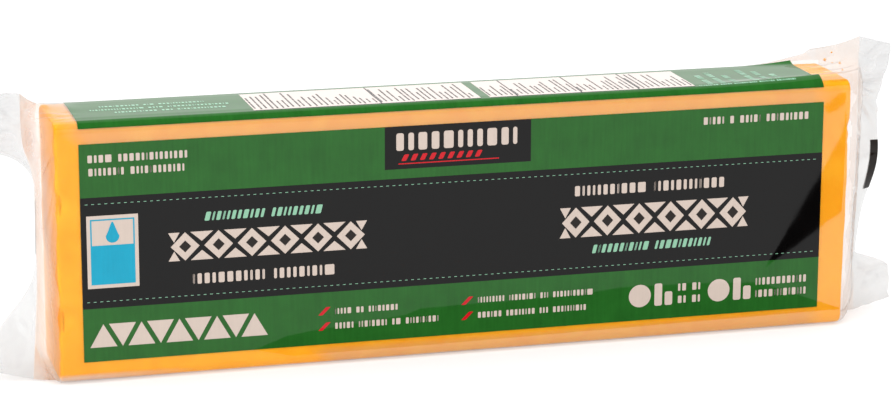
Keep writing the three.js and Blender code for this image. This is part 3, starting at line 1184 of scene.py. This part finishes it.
class CHEDDAR_OT_block(bpy.types.Operator):
    """Make the brick of cheddar inside the film"""

    bl_idname = "cheddar.block"
    bl_label = "Cheddar block"

    def execute(self, context):
        sizes = sizes_of(context)
        colours = colours_of(context)
        gap = sizes.film_gap
        size = Vector((sizes.length, sizes.depth, sizes.height)) - Vector((sizes.end_gap, gap, gap)) * 2
        bm = bmesh.new()
        bmesh.ops.create_cube(bm, size=1.0)
        place = Matrix.Translation((0.0, 0.0, sizes.height / 2)) @ Matrix.Diagonal((*size, 1.0))
        bmesh.ops.transform(bm, matrix=place, verts=bm.verts)
        long_edges = [e for e in bm.edges if abs(e.verts[0].co.x - e.verts[1].co.x) > size.x / 2]
        round_off(bm, long_edges, sizes.edge_radius - gap, LONG_EDGE_SEGMENTS, "EDGES")
        for end in (LEFT_END, RIGHT_END):
            rim = [e for f in bm.faces if f.normal.x * end["side"] > END_FACING for e in f.edges]
            round_off(bm, rim, end["cut_radius"], CUT_EDGE_SEGMENTS, "EDGES")
        self.divide(bm, size.x / 2)
        self.roughen(bm, sizes)
        bmesh.ops.recalc_face_normals(bm, faces=bm.faces)
        material = cheddar_material("cheddar", colours.cheddar, colours.cheddar_pale)
        finish_piece(bm, "cheddar", [material])
        return {"FINISHED"}

    def divide(self, bm, half):
        """Cuts the block along, up and across, closer together near its ends."""
        for row in (CLOSE_CUTS, OPEN_CUTS):
            for i in range(1, row["count"] + 1):
                x = half - row["from"] - row["pitch"] * i
                self.cut(bm, (-x, 0.0, 0.0), (1.0, 0.0, 0.0))
                self.cut(bm, (x, 0.0, 0.0), (1.0, 0.0, 0.0))
        for i in range(1, CUTS_UP["count"] + 1):
            self.cut(bm, (0.0, 0.0, CUTS_UP["from"] + CUTS_UP["pitch"] * i), (0.0, 0.0, 1.0))
        for i in range(-CUTS_ACROSS["half_count"], CUTS_ACROSS["half_count"] + 1):
            self.cut(bm, (0.0, CUTS_ACROSS["pitch"] * i, 0.0), (0.0, 1.0, 0.0))

    def cut(self, bm, place, way):
        geom = list(bm.verts) + list(bm.edges) + list(bm.faces)
        bmesh.ops.bisect_plane(bm, geom=geom, dist=CUT_REACH, plane_co=place, plane_no=way)

    def roughen(self, bm, sizes):
        """Slight hollows all over, small chips on the end edges, and a slanted right end."""
        half = sizes.length / 2
        chips = []
        for end, face, height, radius, deepest in CHIPS:
            chips.append((Vector((end * half, face * sizes.depth / 2, height)), radius, deepest))
        bm.normal_update()
        for vert in bm.verts:
            near_end = smooth(abs(vert.co.x), half - HOLLOW["end"], half)
            depth = HOLLOW["depth"] + HOLLOW["at_end"] * near_end
            depth *= 0.5 + noise.noise(vert.co * HOLLOW["scale"])
            for place, radius, deepest in chips:
                depth += deepest * max(0.0, 1 - (vert.co - place).length / radius)
            vert.co -= vert.normal * max(depth, 0.0)
        for vert in bm.verts:
            slant = sizes.end_slant * vert.co.z / sizes.height
            vert.co.x += slant * smooth(vert.co.x, half - SLANTED_END, half)


# Steps round the film's section
RING_STEPS = {"base_steps": 8, "arc_steps": 7, "side_steps": 180, "top_steps": 40}
WELD = 1e-6


class CHEDDAR_OT_film(bpy.types.Operator):
    """Make the clear film round the block, with its tents, seals and ears"""

    bl_idname = "cheddar.film"
    bl_label = "Clear film"

    seal_steps: IntProperty(name="Seal steps", description="Steps across a seal", default=14)
    web_steps: IntProperty(name="Web steps", description="Steps from the block to a seal", default=24)
    tent_steps: IntProperty(name="Tent steps", description="Steps along a tent", default=24)
    body_steps: IntProperty(name="Body steps", description="Steps along the block", default=24)
    sharp: angle_value("Sharp", "Angle of a sharp crease", 50)
    free_lift: length_value("Free lift", "Lift off the block from which the film is free", 0.4 * MM)
    free_share: number_value("Free share", "Share of a web that is still on the block", 0.2)
    free_wander: number_value("Free wander", "How much that share wanders", 0.9)
    free_scale: number_value("Free scale", "How closely that share wanders", 150)

    def execute(self, context):
        sizes = sizes_of(context)
        colours = colours_of(context)
        section = Section(sizes)
        ways = section.steps(**RING_STEPS)
        stations = self.stations(sizes)
        bm = bmesh.new()
        across, round_it = len(stations) - 1, len(ways) - 1
        bmesh.ops.create_grid(bm, x_segments=across, y_segments=round_it, size=0.5)
        kinds = {}
        for vert in bm.verts:
            kind, end, share = stations[round((vert.co.x + 0.5) * across)]
            way = ways[round((vert.co.y + 0.5) * round_it)]
            if kind == "seal":
                vert.co = film_on_seal(sizes, section, end, share, way)
            elif kind == "web":
                vert.co = film_on_web(sizes, section, end, share, way)
            else:
                vert.co = drawn_film(sizes, section, share, way)
            kinds[vert] = self.kind(sizes, kind, share, vert.co)
        for face in bm.faces:
            face.material_index = max(kinds[vert] for vert in face.verts)
        bmesh.ops.remove_doubles(bm, verts=bm.verts, dist=WELD)
        bmesh.ops.recalc_face_normals(bm, faces=bm.faces)
        for edge in bm.edges:
            edge.smooth = edge.calc_face_angle(0.0) < self.sharp
        # The film on the cheddar scatters haze with a painted sheen along its long edges; the free film
        # scatters haze warmed by painted light from the cheddar, with a painted warm glow by the left end
        materials = [
            film_material("film_on_cheddar", FILM_ON_CHEDDAR, colours.edge_haze_and_sheen),
            film_material("film_web", FILM_WEB, colours.haze_with_painted_warmth, colours.glow),
            film_material("film_seal", FILM_SEAL, colours.milk),
        ]
        film = finish_piece(bm, "film", materials)
        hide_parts("sealed_pack")
        return {"FINISHED"}

    def kind(self, sizes, kind, share, place):
        """The film's material: 0 where it lies on the block, 1 where it is free and 2 in a seal."""
        if kind == "seal":
            return 2
        lifted = place.z > sizes.height + self.free_lift
        border = self.free_share * (1 + self.free_wander * noise.noise(place * self.free_scale))
        return 1 if lifted or kind == "web" and share > border else 0

    def stations(self, sizes):
        """The film's cross rows from the left seal's edge to the right one's."""
        half = sizes.length / 2
        rows = {}
        for end in (LEFT_END, RIGHT_END):
            made = [("seal", end, 1 - i / self.seal_steps) for i in range(self.seal_steps)]
            made += [("web", end, 1 - i / self.web_steps) for i in range(self.web_steps)]
            reach = longest_tent(end)
            shares = [(i / self.tent_steps) ** sizes.tent_rise for i in range(self.tent_steps + 1)]
            insides = [mix(sizes.end_turn, reach, share) for share in shares]
            made += [("block", end, end["side"] * (half - inside)) for inside in insides]
            rows[end["side"]] = made
        start, finish = rows[-1][-1][2], rows[1][-1][2]
        body = [("block", None, mix(start, finish, i / self.body_steps)) for i in range(1, self.body_steps)]
        return rows[-1] + body + rows[1][::-1]


class CHEDDAR_OT_print(bpy.types.Operator):
    """Make the inks printed on the film"""

    bl_idname = "cheddar.print"
    bl_label = "Print"

    def execute(self, context):
        colours = colours_of(context)
        for name, draw, layer, slot, streaks in INKS:
            sheet = Sheet(sizes_of(context))
            if name in DRAWN_AT_RANDOM:
                draw(sheet, random.Random(name))
            else:
                draw(sheet)
            material = ink_material(f"{name}_ink", getattr(colours, name), streaks)
            bm = sheet.wrap(layer)
            finish_piece(bm, f"{name}_print", [material], shade_smooth=name == "green")
        return {"FINISHED"}


class CHEDDAR_OT_marks(bpy.types.Operator):
    """Make the dark register mark in each seal"""

    bl_idname = "cheddar.marks"
    bl_label = "Register marks"

    start: number_value("Start", "Share of the seal's width where a mark starts", 0.64)
    finish: number_value("Finish", "Share of the seal's width where a mark ends", 0.985)
    outside: number_value("Outside", "Share of the seal's half thickness", 1.2)
    steps_across: IntProperty(name="Steps across", description="Steps across a mark", default=6)
    steps_up: IntProperty(name="Steps up", description="Steps up a mark", default=20)

    def execute(self, context):
        sizes = sizes_of(context)
        section = Section(sizes)
        bm = bmesh.new()
        for end in (LEFT_END, RIGHT_END):
            low, high = (section.half * end["mark"][key] / end["ear"]["tip"] for key in ("low", "high"))
            rims = []
            for layer in (self.outside, -self.outside):
                made = bmesh.ops.create_grid(
                    bm, x_segments=self.steps_across, y_segments=self.steps_up, size=0.5
                )["verts"]
                rims += {e for v in made for e in v.link_edges if e.is_boundary}
                for vert in made:
                    across = mix(self.start, self.finish, vert.co.x + 0.5)
                    way = mix(low, high, vert.co.y + 0.5)
                    vert.co = film_on_seal(sizes, section, end, across, way, layer)
            bmesh.ops.bridge_loops(bm, edges=rims)
        bmesh.ops.recalc_face_normals(bm, faces=bm.faces)
        material = ink_material("register_ink", colours_of(context).black, REGISTER_STREAKS)
        finish_piece(bm, "register_marks", [material], shade_smooth=False)
        return {"FINISHED"}


# Crumbs caught in the right web: the share of the way out to the seal, the share of the
# way up the front, past 1 on the back, and the size
CRUMBS = (
    (0.34, 1.04, 1.3 * MM),
    (0.43, 0.96, 1.1 * MM),
    (0.56, 1.1, 1.2 * MM),
    (0.4, 0.99, 0.7 * MM),
    (0.3, 0.93, 0.8 * MM),
    (0.5, 1.06, 0.6 * MM),
)
CRUMB_ROUGHNESS = (0.7, 1.1)


class CHEDDAR_OT_crumbs(bpy.types.Operator):
    """Make the crumbs of cheddar caught in the free film"""

    bl_idname = "cheddar.crumbs"
    bl_label = "Crumbs"

    def execute(self, context):
        sizes = sizes_of(context)
        section = Section(sizes)
        rng = random.Random("crumbs")
        bm = bmesh.new()
        for out, share, size in CRUMBS:
            place = film_on_web(sizes, section, RIGHT_END, out, section.half * share)
            place.z -= size / 2
            made = bmesh.ops.create_icosphere(bm, subdivisions=2, radius=size / 2)["verts"]
            for vert in made:
                vert.co = place + vert.co * rng.uniform(*CRUMB_ROUGHNESS)
        finish_piece(bm, "crumbs", [bpy.data.materials["cheddar"]])
        return {"FINISHED"}


# The floor's half width and its drop under the pack, in metres
FLOOR_REACH = 6.0
FLOOR_DROP = 0.2 * MM

# Corners and heights of the dark cards on the floor in front of the pack and of the one
# overhead, in millimetres
FLOOR_CARDS = (
    (
        (-60, -31), (-73, -43), (-58, -57), (-47, -62), (-19, -69), (-8, -73), (0, -80),
        (67, -84), (86, -89), (116, -87), (139, -81), (156, -38),
    ),
    ((149, -101), (235, -249), (302, -373), (320, -330), (226, -192), (192, -151), (162, -116)),
    ((325, -427), (290, -381), (283, -361), (294, -373), (320, -405)),
)
FLOOR_CARD_HEIGHT = 0.2
UPPER_CARD = ((-1500, -1300), (1500, -1300), (1500, 300), (-1500, 300))
UPPER_CARD_HEIGHT = 1250
CARD_GREY = 0.01
WHITE = (1.0, 1.0, 1.0, 1.0)

# Lamps: name, place, aim, width and height in metres, power in watts, and whether gloss
# mirrors it
LAMPS = (
    ("overhead", (0.1, -0.1, 1.3), (0.0, 0.0, 0.0), 2.4, 1.6, 24.0, False),
    ("front_left", (-0.8, -1.1, 0.7), (0.0, 0.0, 0.05), 0.5, 0.5, 3.0, False),
    ("left_wall", (-1.5, -0.1, 0.5), (0.0, 0.0, 0.05), 1.6, 1.0, 9.0, False),
    ("back_wall", (0.4, 1.6, 0.55), (0.0, 0.0, 0.3), 3.2, 0.9, 3.0, True),
)


class CHEDDAR_OT_stage(bpy.types.Operator):
    """Make the floor, the lights and the camera"""

    bl_idname = "cheddar.stage"
    bl_label = "Studio"

    def execute(self, context):
        stage = context.scene.cheddar_stage
        self.floor(stage)
        self.surround(context, stage)
        self.cards()
        self.lights()
        self.camera(context, stage)
        context.scene.view_settings.view_transform = "Standard"
        return {"FINISHED"}

    def set_up(self, bm, name, material):
        """Makes a bmesh an object of the studio."""
        mesh = bpy.data.meshes.new(name)
        bm.to_mesh(mesh)
        bm.free()
        mesh.materials.append(material)
        item = bpy.data.objects.new(name, mesh)
        bpy.context.collection.objects.link(item)
        return item

    def floor(self, stage):
        bm = bmesh.new()
        bmesh.ops.create_grid(bm, x_segments=8, y_segments=8, size=FLOOR_REACH)
        bmesh.ops.translate(bm, verts=bm.verts, vec=(0.0, 0.0, -FLOOR_DROP))
        material, tree = new_material("floor_paint")
        shader = add_node(
            tree,
            "ShaderNodeBsdfPrincipled",
            Base_Color=opaque(stage.floor),
            Roughness=0.9,
            Specular_IOR_Level=0.1,
            Emission_Color=WHITE,
            Emission_Strength=stage.floor_glow,
        )
        set_surface(tree, shader.outputs["BSDF"])
        self.set_up(bm, "floor", material)

    def cards(self):
        """Dark cards on the floor and overhead that only the gloss of the film picks up."""
        cards = [(corners, FLOOR_CARD_HEIGHT) for corners in FLOOR_CARDS]
        cards.append((UPPER_CARD, UPPER_CARD_HEIGHT))
        bm = bmesh.new()
        for corners, height in cards:
            bm.faces.new([bm.verts.new((x * MM, y * MM, height * MM)) for x, y in corners])
        material, tree = new_material("dark_card")
        shader = add_node(tree, "ShaderNodeBsdfDiffuse", Color=opaque([CARD_GREY] * 3))
        set_surface(tree, shader.outputs["BSDF"])
        item = self.set_up(bm, "dark_cards", material)
        item.visible_camera = False
        item.visible_diffuse = False
        item.visible_transmission = False
        item.visible_shadow = False

    def surround(self, context, stage):
        world = bpy.data.worlds.new("white_surround")
        world.use_nodes = True
        background = world.node_tree.nodes["Background"]
        background.inputs["Color"].default_value = WHITE
        background.inputs["Strength"].default_value = stage.surround
        context.scene.world = world

    def lights(self):
        for name, place, aim, width, height, power, mirrored in LAMPS:
            data = bpy.data.lights.new(name, "AREA")
            data.shape = "RECTANGLE"
            data.size = width
            data.size_y = height
            data.energy = power
            lamp = bpy.data.objects.new(name, data)
            lamp.location = place
            lamp.visible_camera = False
            lamp.visible_glossy = mirrored
            lamp.rotation_euler = (Vector(aim) - Vector(place)).to_track_quat("-Z", "Y").to_euler()
            bpy.context.collection.objects.link(lamp)

    def camera(self, context, stage):
        data = bpy.data.cameras.new("camera")
        data.sensor_width = stage.sensor
        data.lens = stage.focal_pixels * stage.sensor / IMAGE_WIDTH
        camera = bpy.data.objects.new("camera", data)
        azimuth, elevation = stage.azimuth, stage.elevation
        back = Vector(
            (
                math.sin(azimuth) * math.cos(elevation),
                -math.cos(azimuth) * math.cos(elevation),
                math.sin(elevation),
            )
        )
        right = Vector((math.cos(azimuth), math.sin(azimuth), 0.0))
        up = back.cross(right)
        turned_right = right * math.cos(stage.roll) + up * math.sin(stage.roll)
        turned_up = up * math.cos(stage.roll) - right * math.sin(stage.roll)
        pose = Matrix((turned_right, turned_up, back)).transposed().to_4x4()
        camera.matrix_world = Matrix.Translation(Vector(stage.aim) + back * stage.distance) @ pose
        bpy.context.collection.objects.link(camera)
        context.scene.camera = camera


class CHEDDAR_PT_panel(bpy.types.Panel):
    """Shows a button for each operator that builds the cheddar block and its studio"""

    bl_idname = "CHEDDAR_PT_panel"
    bl_label = "Packed cheddar"
    bl_space_type = "VIEW_3D"
    bl_region_type = "UI"
    bl_category = "Cheddar"

    def draw(self, context):
        for operator in OPERATORS:
            self.layout.operator(operator.bl_idname)


OPERATORS = (
    CHEDDAR_OT_block,
    CHEDDAR_OT_film,
    CHEDDAR_OT_print,
    CHEDDAR_OT_marks,
    CHEDDAR_OT_crumbs,
    CHEDDAR_OT_stage,
)
CLASSES = (PackSizes, PackColours, StageSettings, *OPERATORS, CHEDDAR_PT_panel)


def register():
    for cls in CLASSES:
        bpy.utils.register_class(cls)
    bpy.types.Scene.cheddar_sizes = PointerProperty(type=PackSizes)
    bpy.types.Scene.cheddar_colours = PointerProperty(type=PackColours)
    bpy.types.Scene.cheddar_stage = PointerProperty(type=StageSettings)


def unregister():
    del bpy.types.Scene.cheddar_stage
    del bpy.types.Scene.cheddar_colours
    del bpy.types.Scene.cheddar_sizes
    for cls in reversed(CLASSES):
        bpy.utils.unregister_class(cls)


def main():
    register()
    bpy.ops.cheddar.block()
    bpy.ops.cheddar.film()
    bpy.ops.cheddar.print()
    bpy.ops.cheddar.marks()
    bpy.ops.cheddar.crumbs()
    bpy.ops.cheddar.stage()


if __name__ == "__main__":
    main()
